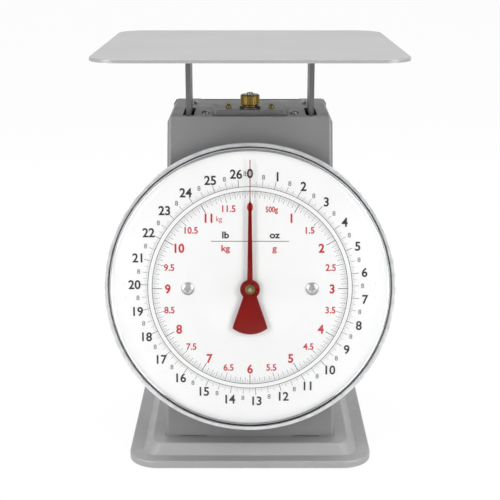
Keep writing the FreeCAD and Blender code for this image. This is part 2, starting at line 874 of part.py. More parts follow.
def tray_bracket():
    """The stiffening plate welded under the platform."""
    form = plate(bracket_half_x, bracket_half_y, bracket_sheet * 3, bracket_under_z, bracket_sheet)
    cuts = []
    for x, y in tray_screw_places():
        cuts.append(rod(V(x, y, bracket_under_z - 1), V(x, y, tray_under_z), small_screw_radius))
    return form.cut(cuts)


def tray_screw_places():
    """Screws through the legs' turned-out tops."""
    x = leg_inner_x + leg_tab - tab_screw_edge_x
    y = leg_tab_half_y - tab_screw_edge_y
    return [(side * x, end * y) for side in (-1, 1) for end in (-1, 1)]


def tray_screws():
    """Four screws driven up through the legs' tops into the bracket."""
    screw = pan_screw(small_screw_head, small_screw_head_height, small_screw_radius,
                      leg_sheet + bracket_sheet)
    return [aimed(screw, V(x, y, leg_top_z - leg_sheet), V(0, 0, -1)) for x, y in tray_screw_places()]


def leg():
    """One channel-section leg on the +X side, with a turned-out top."""
    web = block(leg_inner_x, leg_inner_x + leg_sheet, -leg_half_depth, leg_half_depth,
                leg_bottom_z, leg_top_z)
    front = block(leg_inner_x, leg_outer_x, -leg_half_depth, -leg_half_depth + leg_sheet,
                  leg_bottom_z, leg_top_z)
    rear = block(leg_inner_x, leg_outer_x, leg_half_depth - leg_sheet, leg_half_depth,
                 leg_bottom_z, leg_top_z)
    tab = block(leg_inner_x, leg_inner_x + leg_tab, -leg_tab_half_y, leg_tab_half_y,
                leg_top_z - leg_sheet, leg_top_z)
    channel = web.fuse([front, rear, tab]).removeSplitter()
    cuts = []
    for x, y in tray_screw_places():
        cuts.append(rod(V(x, y, leg_top_z - leg_sheet - 1), V(x, y, leg_top_z + 1), small_screw_radius))
    for z in carrier_pin_heights():
        cuts.append(rod(V(0, arm_pin_y, z), V(leg_outer_x, arm_pin_y, z), arm_pin_radius))
    for y, z in crossbar_rivet_places():
        cuts.append(rod(V(0, y, z), V(leg_outer_x, y, z), rivet_radius))
    bolt_z = spring_beam_z + beam_height / 2
    cuts.append(rod(V(0, hanger_y, bolt_z), V(leg_outer_x, hanger_y, bolt_z), small_screw_radius))
    return channel.cut(cuts)


def carrier_pin_heights():
    """The arm pins on the legs: each arm starts above level and ends as far below it."""
    return [upper_arm_z + arm_half_rise, lower_arm_z + arm_half_rise]


def carrier_pins():
    """Four headed pins on the legs that the arms' slotted ends ride on."""
    pins = []
    for z in carrier_pin_heights():
        start = V(leg_inner_x, arm_pin_y, z)
        end = V(arm_bar_x + arm_bar_sheet + clip_thickness * 2, arm_pin_y, z)
        pin = rod(start, end, arm_pin_radius)
        head = rod(V(arm_bar_x + arm_bar_sheet + arm_slot_gap, arm_pin_y, z), end, arm_pin_head)
        pins.append(pin.fuse(head).removeSplitter())
    return [copy for pin in pins for copy in both_sides(pin)]


def leg_crossbar():
    """The folded plate between the legs that carries the rack."""
    y0 = -leg_half_depth
    plate_bar = block(-leg_inner_x, leg_inner_x, y0, y0 + crossbar_sheet,
                      crossbar_z, crossbar_z + crossbar_height)
    tab = block(leg_inner_x - crossbar_sheet, leg_inner_x, y0, y0 + crossbar_tab,
                crossbar_z, crossbar_z + crossbar_height)
    bar = plate_bar.fuse(both_sides(tab)).removeSplitter()
    cuts = []
    for y, z in crossbar_rivet_places():
        cuts.append(rod(V(-base_width, y, z), V(base_width, y, z), rivet_radius))
    for z in rack_foot_rivet_heights():
        cuts.append(rod(V(rack_foot_rivet_x(), y0 - 3, z), V(rack_foot_rivet_x(), 0, z), rivet_radius))
    return bar.cut(cuts)


def crossbar_rivet_places():
    """Two rivets through each end of the crossbar, one above the other."""
    y = -leg_half_depth + crossbar_tab - rivet_head - crossbar_sheet
    return [(y, crossbar_z + crossbar_height * share) for share in (rivet_share, 1 - rivet_share)]


def crossbar_rivets():
    """The rivets that hold the crossbar to the legs."""
    grip = leg_sheet + crossbar_sheet
    rivets = []
    for y, z in crossbar_rivet_places():
        one = aimed(rivet(grip), V(leg_inner_x - crossbar_sheet, y, z), EX)
        rivets += both_sides(one)
    return rivets


def spring_beam():
    """The lower beam between the legs that the springs pull on."""
    return block(-leg_inner_x, leg_inner_x, hanger_y - beam_thickness / 2, hanger_y + beam_thickness / 2,
                 spring_beam_z, spring_beam_z + beam_height).cut(
        [rod(V(side * leg_inner_x, hanger_y, spring_beam_z + beam_height / 2),
             V(side * (leg_inner_x - beam_bolt_length), hanger_y, spring_beam_z + beam_height / 2),
             small_screw_radius) for side in (-1, 1)])


def beam_bolts():
    """One screw through each leg into the end of the lower beam."""
    screw = pan_screw(small_screw_head, small_screw_head_height, small_screw_radius,
                      beam_bolt_length + leg_sheet)
    bolt = aimed(screw, V(leg_inner_x + leg_sheet, hanger_y, spring_beam_z + beam_height / 2), EX)
    return both_sides(bolt)


# ---------------------------------------------------------------- rack and pinion
def rack_plane_x():
    """The rack's back face, away from the pinion."""
    return pitch_radius + rack_body


def rack():
    """The toothed bar that the carrier pulls down past the pinion. Its teeth lie along the arbor."""
    pitch = math.pi * gear_module
    tip_x = pitch_radius - tooth_height * gear_module
    root_x = pitch_radius + root_depth * gear_module
    slant = math.tan(math.radians(pressure_angle))
    half_gap = pitch / 4 + backlash / 4
    first = -int((rack_below_axis + 2 * pitch) / pitch)
    last = int((rack_above_axis + 2 * pitch) / pitch)
    corners = []
    for number in range(first, last + 1):
        middle = number * pitch
        mouth = half_gap + (pitch_radius - tip_x) * slant
        floor = half_gap - (root_x - pitch_radius) * slant
        corners.append(V(tip_x, 0, middle - mouth))
        corners.append(V(root_x, 0, middle - floor))
        corners.append(V(root_x, 0, middle + floor))
        corners.append(V(tip_x, 0, middle + mouth))
    corners.append(V(rack_plane_x(), 0, last * pitch + pitch / 2))
    corners.append(V(rack_plane_x(), 0, first * pitch - pitch / 2))
    toothed = along_depth(polygon_face(corners), 0, plate_gap * 2)
    toothed = on_dial(toothed)
    bar = block(0, rack_plane_x(), rack_front_y, rack_front_y + rack_thickness,
                dial_z - rack_below_axis, dial_z + rack_above_axis)
    return toothed.common(bar)


def rack_foot_rivet_x():
    """Where the bracket's foot is riveted to the crossbar."""
    return rack_plane_x() + rack_bracket_sheet + rack_foot / 2


def rack_foot_rivet_heights():
    """Two rivets in the bracket's foot."""
    return [crossbar_z + crossbar_height * share for share in (rivet_share, 1 - rivet_share)]


def rack_rivet_heights():
    """Two rivets that hold the rack to its bracket, above the teeth in use."""
    top = dial_z + rack_above_axis
    return [top - rack_rivet_from_top, top - rack_rivet_from_top - rack_rivet_spacing]


def rack_bracket():
    """The angle bracket from the crossbar forward to the rack."""
    x0 = rack_plane_x()
    low = crossbar_z + 1
    high = crossbar_z + crossbar_height - 1
    rear = -leg_half_depth
    web = block(x0, x0 + rack_bracket_sheet, rack_front_y, rear, low, high)
    foot = block(x0, x0 + rack_bracket_sheet + rack_foot, rear - rack_bracket_sheet, rear, low, high)
    bracket = web.fuse(foot).removeSplitter()
    cuts = []
    for z in rack_foot_rivet_heights():
        cuts.append(rod(V(rack_foot_rivet_x(), rear - 3, z), V(rack_foot_rivet_x(), 0, z), rivet_radius))
    for z in rack_rivet_heights():
        y = rack_front_y + rack_thickness / 2
        cuts.append(rod(V(x0 - 1, y, z), V(x0 + 3, y, z), rack_rivet_radius))
    return bracket.cut(cuts)


def rack_rivets():
    """Rivets through the bracket: two into the rack and two through the crossbar."""
    rivets = []
    y = rack_front_y + rack_thickness / 2
    outer_x = rack_plane_x() + rack_bracket_sheet
    for z in rack_rivet_heights():
        shank = rod(V(outer_x - rack_bracket_sheet, y, z), V(outer_x, y, z), rack_rivet_radius)
        head = rod(V(outer_x, y, z), V(outer_x + rack_rivet_head_height, y, z), rack_rivet_head)
        rivets.append(shank.fuse(head).removeSplitter())
    for z in rack_foot_rivet_heights():
        place = V(rack_foot_rivet_x(), -leg_half_depth - rack_bracket_sheet, z)
        rivets.append(aimed(rivet(rack_bracket_sheet + crossbar_sheet), place, EY))
    return rivets


def involute(angle):
    """The involute function of a pressure angle in radians."""
    return math.tan(angle) - angle


def pinion_outline():
    """The pinion's teeth as points about the arbor, with one tooth pointing at the rack."""
    base_radius = pitch_radius * math.cos(math.radians(pressure_angle))
    tip_radius = pitch_radius + tooth_height * gear_module
    root_radius = pitch_radius - root_depth * gear_module
    pitch_half = (math.pi * gear_module / 2 - backlash / 2) / 2 / pitch_radius
    start_half = pitch_half + involute(math.radians(pressure_angle))
    flank = []
    flank_steps = 4
    for step in range(flank_steps + 1):
        radius = base_radius + (tip_radius - base_radius) * step / flank_steps
        half = start_half - involute(math.acos(base_radius / radius))
        flank.append((radius, half))
    points = []
    for tooth in range(pinion_teeth):
        middle = 2 * math.pi * tooth / pinion_teeth
        side = [(root_radius, -start_half)] + [(radius, -half) for radius, half in flank]
        side += [(radius, half) for radius, half in reversed(flank)] + [(root_radius, start_half)]
        for radius, angle in side:
            points.append(V(radius * math.cos(middle + angle), 0, radius * math.sin(middle + angle)))
    return points


def pinion():
    """The small brass gear on the arbor."""
    blank = along_depth(polygon_face(pinion_outline()), 0, pinion_length)
    blank.translate(V(0, pinion_start, 0))
    return on_dial(blank).cut(dial_rod(0, 0, 0, -plate_gap * 2, arbor_radius))


# ---------------------------------------------------------------- movement frame
def movement_plate(half_x, half_u, outer_v, holes):
    """One flat movement plate, with the bush hole and the screw or post holes."""
    slab = dial_slab(half_x, half_u, outer_v - plate_sheet, outer_v)
    cuts = [dial_rod(0, 0, outer_v - plate_sheet - 1, outer_v + 1, bush_radius)]
    for x, up, radius in holes:
        cuts.append(dial_rod(x, up, outer_v - plate_sheet - 1, outer_v + 1, radius))
    return slab.cut(cuts)


def movement_front_plate():
    """The plate screwed to the inside of the casing's face."""
    holes = [(side * plate_screw_x, 0, small_screw_radius) for side in (-1, 1)]
    return movement_plate(front_plate_half_x, front_plate_half_u, -casing_sheet, holes)


def movement_rear_plate():
    """The plate that carries the arbor's inner bush."""
    holes = [(x, up, small_screw_radius) for x, up in post_places()]
    return movement_plate(rear_plate_half_x, rear_plate_half_u, rear_plate_v, holes)


def post_places():
    """The movement's four posts."""
    return [(side * post_x, end * post_u) for side in (-1, 1) for end in (-1, 1)]


def movement_posts():
    """Four spacers that hold the two plates apart."""
    return [dial_rod(x, up, rear_plate_v, -casing_sheet - plate_sheet, post_radius)
            for x, up in post_places()]


def movement_screws():
    """Screws for the movement: two through the casing's face, four behind the rear plate."""
    long_screw = pan_screw(small_screw_head, small_screw_head_height, small_screw_radius,
                           casing_sheet + plate_sheet + 1)
    short_screw = pan_screw(small_screw_head, small_screw_head_height, small_screw_radius, plate_sheet)
    outward = dial_place.Rotation.multVec(V(0, -1, 0))
    screws = [aimed(long_screw, dial_point(side * plate_screw_x, 0, 0), outward) for side in (-1, 1)]
    for x, up in post_places():
        screws.append(aimed(short_screw, dial_point(x, rear_plate_v - plate_sheet, up), -outward))
    return screws


def shaft_bushes():
    """Two brass bushes that the arbor turns in."""
    front = (-casing_sheet - plate_sheet, -casing_sheet - plate_sheet + bush_length)
    rear = (rear_plate_v - plate_sheet, rear_plate_v - plate_sheet + bush_length)
    bushes = []
    for low, high in (front, rear):
        bore = arbor_radius + running_gap
        bushes.append(dial_ring([(bore, low), (bush_radius, low), (bush_radius, high), (bore, high)]))
    return bushes


def arbor():
    """The pointer's shaft, from behind the rear plate to the pointer's hub."""
    start = rear_plate_v - plate_sheet - arbor_end
    return dial_rod(0, 0, start, pointer_back + pointer_sheet + hub_length - 1, arbor_radius)


# ---------------------------------------------------------------- dial head
def pan_screw_places():
    """Four screws that hold the dial pan to the casing's face."""
    return [(side * pan_screw_x, end * pan_screw_u) for side in (-1, 1) for end in (-1, 1)]


def dial_pan():
    """The dished steel pan behind the dial, with an outward rim for the bezel to grip."""
    back = 0.0
    inner_back = pan_sheet
    rim_back = pan_depth - pan_sheet
    wall_in = pan_wall_radius - pan_sheet
    pan = dial_ring([
        (pan_hole_radius, back), (pan_back_radius, back), (pan_wall_radius, rim_back),
        (rim_radius, rim_back), (rim_radius, pan_depth), (wall_in, pan_depth),
        (wall_in, rim_back), (pan_back_radius - pan_sheet, inner_back), (pan_hole_radius, inner_back)])
    cuts = [dial_rod(x, up, -1, pan_sheet + 1, small_screw_radius + running_gap)
            for x, up in pan_screw_places()]
    return pan.cut(cuts)


def pan_screws():
    """Screws from inside the pan through the casing's face."""
    screw = pan_screw(small_screw_head, small_screw_head_height, small_screw_radius, small_screw_length)
    outward = dial_place.Rotation.multVec(V(0, -1, 0))
    return [aimed(screw, dial_point(x, pan_sheet, up), outward) for x, up in pan_screw_places()]


def dial_posts():
    """Two tapped posts in the pan that the dial is screwed to."""
    return [dial_rod(side * dial_screw_x, 0, pan_sheet, pan_sheet + dial_stand, dial_post_radius)
            for side in (-1, 1)]


def dial_plate():
    """The printed disc."""
    back = dial_front - dial_sheet
    disc = dial_ring([(dial_hole_radius, back), (dial_radius, back),
                      (dial_radius, dial_front), (dial_hole_radius, dial_front)])
    holes = [dial_rod(side * dial_screw_x, 0, back - 1, dial_front + 1, small_screw_radius + running_gap)
             for side in (-1, 1)]
    return disc.cut(holes)


def dial_screws():
    """Two broad cross-recessed screws on the dial."""
    screw = pan_screw(dial_screw_radius, dial_screw_height, small_screw_radius, dial_sheet)
    outward = dial_place.Rotation.multVec(V(0, -1, 0))
    return [aimed(screw, dial_point(side * dial_screw_x, dial_front, 0), outward) for side in (-1, 1)]


def cover_gasket():
    """The black ring between the pan's rim and the clear cover."""
    return dial_ring([(gasket_inner_radius, rim_front), (rim_radius, rim_front),
                      (rim_radius, gasket_front), (gasket_inner_radius, gasket_front)])


def dial_cover():
    """The clear domed cover: a flat rim, a rounded shoulder and a slight crown."""
    start = bezel_lip_radius - cover_lip_gap
    skirt = dial_radius + cover_skirt_gap
    low = cover_rim_front
    knee_v = low + cover_rise
    knee_r = start - cover_shoulder
    inner_start = start - cover_wall
    bulge = math.sqrt(0.5)
    crown_radius = (knee_r ** 2 + cover_crown ** 2) / (2 * cover_crown)
    half_crown = cover_crown - crown_radius + math.sqrt(crown_radius ** 2 - (knee_r / 2) ** 2)
    corners = {
        "rim_low": out_point(rim_radius, gasket_front),
        "rim_high": out_point(rim_radius, low),
        "foot": out_point(start, low),
        "foot_bend": out_point(knee_r + cover_shoulder * bulge, low + cover_rise * bulge),
        "knee": out_point(knee_r, knee_v),
        "crown_mid": out_point(knee_r / 2, knee_v + half_crown),
        "crown": out_point(0, knee_v + cover_crown),
        "crown_in": out_point(0, knee_v + cover_crown - cover_wall),
        "crown_mid_in": out_point(knee_r / 2, knee_v + half_crown - cover_wall),
        "knee_in": out_point(knee_r, knee_v - cover_wall),
        "bend_in": out_point(knee_r + (cover_shoulder - cover_wall) * bulge,
                             low + (cover_rise - cover_wall) * bulge),
        "foot_in": out_point(inner_start, low),
        "skirt_in": out_point(skirt, low - cover_rim / 2),
        "skirt_low": out_point(skirt, gasket_front),
    }

    def straight(start_name, end_name):
        return Part.LineSegment(corners[start_name], corners[end_name]).toShape()

    def bent(start_name, middle_name, end_name):
        return Part.Arc(corners[start_name], corners[middle_name], corners[end_name]).toShape()

    return dial_turned([
        straight("rim_low", "rim_high"), straight("rim_high", "foot"),
        bent("foot", "foot_bend", "knee"), bent("knee", "crown_mid", "crown"),
        straight("crown", "crown_in"), bent("crown_in", "crown_mid_in", "knee_in"),
        bent("knee_in", "bend_in", "foot_in"), straight("foot_in", "skirt_in"),
        straight("skirt_in", "skirt_low"), straight("skirt_low", "rim_low")])


def bezel_ring():
    """The bright rolled ring that clamps the cover to the pan's rim."""
    rear_out = pan_depth - pan_sheet
    rear = rear_out - bezel_sheet
    front = cover_rim_front + bezel_sheet
    wall = rim_radius + bezel_wall_gap
    rear_lip = pan_wall_radius + bezel_rear_gap
    curve = bezel_curve
    bend = curve * (1 - math.sqrt(0.5))
    corners = [out_point(rear_lip, rear), out_point(bezel_radius - curve, rear),
               out_point(bezel_radius, rear + curve), out_point(bezel_radius, front - curve),
               out_point(bezel_radius - curve, front), out_point(bezel_lip_radius + curve / 2, front),
               out_point(bezel_lip_radius, front - curve / 2), out_point(bezel_lip_radius, cover_rim_front),
               out_point(wall, cover_rim_front), out_point(wall, rear_out),
               out_point(rear_lip, rear_out)]
    edges = []
    for index, corner in enumerate(corners):
        following = corners[(index + 1) % len(corners)]
        if index == 1:
            middle = out_point(bezel_radius - bend, rear + bend)
            edges.append(Part.Arc(corner, middle, following).toShape())
        elif index == 3:
            middle = out_point(bezel_radius - bend, front - bend)
            edges.append(Part.Arc(corner, middle, following).toShape())
        else:
            edges.append(Part.LineSegment(corner, following).toShape())
    return dial_turned(edges)


# ---------------------------------------------------------------- pointer
def flat_on_dial(points, thickness):
    """A flat outline of (x, up) points, as a sheet that stands on the pointer's plane."""
    face = polygon_face([V(x, -pointer_back, up) for x, up in points])
    return on_dial(face.extrude(V(0, -thickness, 0)))


def pointer():
    """The red pointer: a disc, a tapering needle with a hair tip, and a fan-shaped tail."""
    disc = dial_rod(0, 0, pointer_back, pointer_back + pointer_sheet, pointer_disc)
    side = [(pointer_root_half, 0), (pointer_waist_half, pointer_waist),
            (pointer_hair_half, pointer_hair), (pointer_hair_half, pointer_reach)]
    needle = flat_on_dial(side + [(-x, up) for x, up in reversed(side)], pointer_sheet)
    neck_up = -math.sqrt(pointer_disc ** 2 - tail_neck_half ** 2)
    left = V(-tail_half, -pointer_back, -tail_shoulder)
    right = V(tail_half, -pointer_back, -tail_shoulder)
    bottom = V(0, -pointer_back, -tail_reach)
    neck_left = V(-tail_neck_half, -pointer_back, neck_up)
    neck_right = V(tail_neck_half, -pointer_back, neck_up)
    outline = [Part.LineSegment(neck_right, right).toShape(), Part.Arc(right, bottom, left).toShape(),
               Part.LineSegment(left, neck_left).toShape(),
               Part.LineSegment(neck_left, neck_right).toShape()]
    tail = on_dial(Part.Face(Part.Wire(outline)).extrude(V(0, -pointer_sheet, 0)))
    whole = disc.fuse([needle, tail]).removeSplitter()
    return whole.cut(dial_rod(0, 0, pointer_back - 1, pointer_back + 2, arbor_radius))


def pointer_hub():
    """The brass hub, with a collar behind the pointer and a dome in front."""
    behind = pointer_back - hub_collar_length
    collar = dial_ring([(arbor_radius, behind), (hub_collar_radius, behind),
                        (hub_collar_radius, pointer_back), (arbor_radius, pointer_back)])
    front = pointer_back + pointer_sheet
    tip = front + hub_cap_length
    cap = dial_ring([(arbor_radius, front), (hub_radius, front), (hub_radius, front + hub_cap_edge),
                     (hub_radius - hub_bevel, tip), (arbor_radius, tip)])
    return [collar, cap]


# ---------------------------------------------------------------- parallel arms
def arm_angle():
    """How far the arms stand above level at rest."""
    return math.atan2(arm_half_rise, arm_shaft_y - arm_pin_y)


def arm(pivot_z):
    """One parallel arm: a tube on the rear shaft and a slotted bar to each leg."""
    tube = rod(V(-arm_bar_x, arm_shaft_y, pivot_z), V(arm_bar_x, arm_shaft_y, pivot_z), arm_tube_radius)
    level = arm_shaft_y - arm_pin_y
    longest = math.hypot(level, arm_half_rise)
    x0 = arm_bar_x
    x1 = arm_bar_x + arm_bar_sheet
    bar = block(x0, x1, -longest, 0, -arm_bar_half, arm_bar_half)
    far = rod(V(x0, -longest, 0), V(x1, -longest, 0), arm_bar_half)
    near = rod(V(x0, 0, 0), V(x1, 0, 0), arm_bar_half)
    bar = bar.fuse([far, near]).removeSplitter()
    slot_radius = arm_pin_radius + arm_slot_gap
    slot = block(x0 - 1, x1 + 1, -longest, -level, -slot_radius, slot_radius)
    ends = [rod(V(x0 - 1, -place, 0), V(x1 + 1, -place, 0), slot_radius) for place in (longest, level)]
    bar = bar.cut([slot] + ends)
    bar.rotate(V(0, 0, 0), EX, -math.degrees(arm_angle()))
    bar.translate(V(0, arm_shaft_y, pivot_z))
    whole = tube.fuse(both_sides(bar)).removeSplitter()
    bore = arm_shaft_radius + running_gap
    return whole.cut(rod(V(-base_width, arm_shaft_y, pivot_z), V(base_width, arm_shaft_y, pivot_z), bore))


def arm_shafts():
    """The two fixed shafts across the back of the chassis."""
    half = chassis_half + clip_thickness * 3
    return [rod(V(-half, arm_shaft_y, z), V(half, arm_shaft_y, z), arm_shaft_radius)
            for z in (upper_arm_z, lower_arm_z)]


def arm_clips():
    """Retaining rings on the shafts' ends."""
    clips = []
    for z in (upper_arm_z, lower_arm_z):
        start = V(chassis_half, arm_shaft_y, z)
        ring = rod(start, start + EX * clip_thickness, clip_radius)
        ring = ring.cut(rod(start - EX, start + EX * 3, arm_shaft_radius))
        clips += both_sides(ring)
    return clips


# ---------------------------------------------------------------- overload stop
def travel_stop():
    """A channel on the base that the lower beam meets just past full load."""
    top = spring_beam_z - travel - stop_clear
    y0 = hanger_y - stop_half_y
    y1 = hanger_y + stop_half_y
    outer = block(-stop_half_x, stop_half_x, y0, y1, plateau_z, top)
    inner = block(-stop_half_x + stop_sheet, stop_half_x - stop_sheet, y0 - 1, y1 + 1,
                  plateau_z - 1, top - stop_sheet)
    feet = [block(side * stop_half_x - stop_foot, side * stop_half_x + stop_foot, y0, y1,
                  plateau_z, plateau_z + stop_sheet) for side in (-1, 1)]
    return outer.cut(inner).fuse(feet).removeSplitter()


# ---------------------------------------------------------------- all the nodes
def all_nodes():
    """Every node's name and its solids."""
    return {
        "base_pan": base_pan(), "rubber_feet": rubber_feet(), "base_screws": base_screws(),
        "casing": casing(), "top_screws": top_screws(),
        "rear_cover": rear_cover(), "rear_cover_screws": rear_cover_screws(),
        "chassis": chassis(), "travel_stop": travel_stop(),
        "hanger_bridge": hanger_bridge(), "knob_washer": knob_washer(), "zero_knob": zero_knob(),
        "hanger_stud": hanger_stud(), "hanger_beam": hanger_beam(), "hanger_guide_pins": hanger_guide_pins(),
        "left_spring": spring(-1), "right_spring": spring(1),
        "platform_tray": platform_tray(), "tray_bracket": tray_bracket(), "tray_screws": tray_screws(),
        "left_leg": mirrored(leg()), "right_leg": leg(),
        "carrier_pins": carrier_pins(), "leg_crossbar": leg_crossbar(), "crossbar_rivets": crossbar_rivets(),
        "spring_beam": spring_beam(), "beam_bolts": beam_bolts(),
        "rack": rack(), "rack_bracket": rack_bracket(), "rack_rivets": rack_rivets(),
        "movement_front_plate": movement_front_plate(), "movement_rear_plate": movement_rear_plate(),
        "movement_posts": movement_posts(), "movement_screws": movement_screws(),
        "shaft_bushes": shaft_bushes(), "arbor": arbor(), "pinion": pinion(),
        "pointer": pointer(), "pointer_hub": pointer_hub(),
        "dial_pan": dial_pan(), "pan_screws": pan_screws(), "dial_posts": dial_posts(),
        "dial_plate": dial_plate(), "dial_screws": dial_screws(), "cover_gasket": cover_gasket(),
        "dial_cover": dial_cover(), "bezel_ring": bezel_ring(),
        "upper_arm": arm(upper_arm_z), "lower_arm": arm(lower_arm_z),
        "arm_shafts": arm_shafts(), "arm_clips": arm_clips(),
    }


os.makedirs("parts", exist_ok=True)
for node, made in all_nodes().items():
    shape = Part.makeCompound(made) if isinstance(made, list) else made
    for solid in shape.Solids:
        if not solid.isValid() or solid.Volume <= 0:
            raise RuntimeError("not a sound solid: " + node)
    shape.exportStep("parts/" + node + ".step")
    print(node, len(shape.Solids), round(shape.Volume, 1))
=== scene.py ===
"""The looks of the spring dial scale: paints, platings, printed dial, springs, light and camera.

Everything is in metres in the object's own frame: +Z is up and the dial faces -Y.
"""
import json
import math

import bmesh
import bpy
from mathutils import Matrix, Vector

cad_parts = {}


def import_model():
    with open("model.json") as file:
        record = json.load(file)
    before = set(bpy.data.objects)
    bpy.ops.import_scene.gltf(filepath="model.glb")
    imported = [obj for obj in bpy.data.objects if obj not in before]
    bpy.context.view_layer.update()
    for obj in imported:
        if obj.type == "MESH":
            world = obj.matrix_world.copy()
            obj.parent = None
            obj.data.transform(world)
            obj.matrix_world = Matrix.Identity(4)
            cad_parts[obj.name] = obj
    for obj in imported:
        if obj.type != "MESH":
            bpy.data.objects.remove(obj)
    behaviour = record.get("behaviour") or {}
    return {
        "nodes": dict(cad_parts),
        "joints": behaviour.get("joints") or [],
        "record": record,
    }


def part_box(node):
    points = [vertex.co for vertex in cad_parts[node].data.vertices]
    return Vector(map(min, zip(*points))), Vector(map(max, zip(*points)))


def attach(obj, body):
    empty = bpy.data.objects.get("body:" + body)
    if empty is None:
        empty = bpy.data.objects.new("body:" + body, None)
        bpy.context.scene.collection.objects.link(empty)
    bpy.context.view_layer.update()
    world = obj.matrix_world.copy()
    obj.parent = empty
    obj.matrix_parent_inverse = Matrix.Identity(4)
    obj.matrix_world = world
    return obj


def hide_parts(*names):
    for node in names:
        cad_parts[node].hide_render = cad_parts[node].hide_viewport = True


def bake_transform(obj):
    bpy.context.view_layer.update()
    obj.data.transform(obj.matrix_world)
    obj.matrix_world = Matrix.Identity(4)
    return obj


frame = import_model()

MM = 0.001
NODES = frame["nodes"]
JOINTS = {joint["name"]: joint for joint in frame["joints"]}


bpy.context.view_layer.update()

# ---------------------------------------------------------------- the dial's own frame
TURN = JOINTS["pointer_turn"]
DIAL_CENTRE = Vector(TURN["pos_m"])
DIAL_OUT = -Vector(TURN["axis"]).normalized()
DIAL_UP = DIAL_OUT.cross(Vector((1, 0, 0)))
DIAL_FRAME = Matrix.Translation(DIAL_CENTRE) @ Matrix((
    (1, DIAL_UP.x, DIAL_OUT.x), (0, DIAL_UP.y, DIAL_OUT.y), (0, DIAL_UP.z, DIAL_OUT.z))).to_4x4()


def stand_off(node):
    """How far a node's front stands out from the casing's leaning face."""
    return max((vertex.co - DIAL_CENTRE).dot(DIAL_OUT) for vertex in NODES[node].data.vertices)


DIAL_FRONT = stand_off("dial_plate")
PRINT_LIFT = 0.01 * MM
PRINT_THICK = 0.04 * MM


# ---------------------------------------------------------------- node-tree helpers
class Shader:
    """A material with one Principled shader and short calls to add nodes to it."""

    def __init__(self, name, color, roughness, metallic=0.0):
        self.material = bpy.data.materials.new(name)
        self.material.use_nodes = True
        self.tree = self.material.node_tree
        self.surface = self.tree.nodes["Principled BSDF"]
        self.surface.inputs["Base Color"].default_value = (*color, 1.0)
        self.surface.inputs["Roughness"].default_value = roughness
        self.surface.inputs["Metallic"].default_value = metallic
        self.material.diffuse_color = (*color, 1.0)
        self.coordinates = self.add("ShaderNodeTexCoord").outputs["Object"]

    def add(self, kind, **values):
        """Add a node; values set its properties or its inputs by name."""
        node = self.tree.nodes.new(kind)
        for key, value in values.items():
            if key in node.inputs:
                node.inputs[key].default_value = value
            else:
                setattr(node, key, value)
        return node

    def link(self, output, socket):
        """Join an output to an input."""
        self.tree.links.new(output, socket)

    def noise(self, scale, detail=4.0, stretch=(1, 1, 1)):
        """A noise pattern, with features stretched along an axis if asked."""
        mapping = self.add("ShaderNodeMapping")
        mapping.inputs["Scale"].default_value = stretch
        self.link(self.coordinates, mapping.inputs["Vector"])
        node = self.add("ShaderNodeTexNoise", Scale=scale, Detail=detail)
        self.link(mapping.outputs["Vector"], node.inputs["Vector"])
        return node.outputs["Fac"]

    def span(self, source, low, high, from_low=0.3, from_high=0.7):
        """Map a pattern's values onto another range."""
        node = self.add("ShaderNodeMapRange")
        self.link(source, node.inputs["Value"])
        node.inputs["From Min"].default_value = from_low
        node.inputs["From Max"].default_value = from_high
        node.inputs["To Min"].default_value = low
        node.inputs["To Max"].default_value = high
        return node.outputs["Result"]

    def tint(self, factor, first, second):
        """Mix two colours by a pattern."""
        node = self.add("ShaderNodeMix", data_type="RGBA")
        self.link(factor, node.inputs["Factor"])
        colors = [socket for socket in node.inputs if socket.type == "RGBA"]
        colors[0].default_value = (*first, 1.0)
        colors[1].default_value = (*second, 1.0)
        return [socket for socket in node.outputs if socket.type == "RGBA"][0]

    def color(self, output):
        """Drive the base colour."""
        self.link(output, self.surface.inputs["Base Color"])

    def rough(self, output):
        """Drive the roughness."""
        self.link(output, self.surface.inputs["Roughness"])

    def bump(self, height, strength, distance):
        """Drive the surface's small relief."""
        node = self.add("ShaderNodeBump", Strength=strength, Distance=distance)
        self.link(height, node.inputs["Height"])
        self.link(node.outputs["Normal"], self.surface.inputs["Normal"])


def gray(value):
    """A neutral colour."""
    return (value, value, value)


def enamel(name, value, metallic, roughness, peel=0.06):
    """Silver-grey sprayed enamel: fine metal flake, a little orange peel and faint cloudiness."""
    shader = Shader(name, gray(value), roughness, metallic)
    flake = shader.span(shader.noise(2600, 2), 0.0, 1.0)
    cloud = shader.span(shader.noise(14, 3), 0.0, 1.0)
    blend = shader.add("ShaderNodeMath", operation="MULTIPLY_ADD")
    shader.link(flake, blend.inputs[0])
    blend.inputs[1].default_value = 0.65
    shader.link(shader.span(cloud, 0.0, 0.35, 0.0, 1.0), blend.inputs[2])
    shader.color(shader.tint(blend.outputs["Value"], gray(value * 0.9), gray(value * 1.1)))
    shader.rough(shader.span(shader.noise(90, 3), roughness - 0.05, roughness + 0.06))
    shader.bump(shader.noise(900, 2), peel, 0.2 * MM)
    return shader.material


def brushed_enamel(name, value, metallic, roughness):
    """The platform's finish: satin, with a faint grain across its width and light handling marks."""
    shader = Shader(name, gray(value), roughness, metallic)
    grain = shader.noise(900, 3, (0.03, 1.0, 1.0))
    marks = shader.span(shader.noise(9, 4), 0.0, 1.0)
    shader.color(shader.tint(shader.span(grain, 0.0, 1.0), gray(value * 0.96), gray(value * 1.04)))
    shader.rough(shader.span(marks, roughness - 0.04, roughness + 0.06, 0.0, 1.0))
    shader.bump(grain, 0.05, 0.1 * MM)
    return shader.material


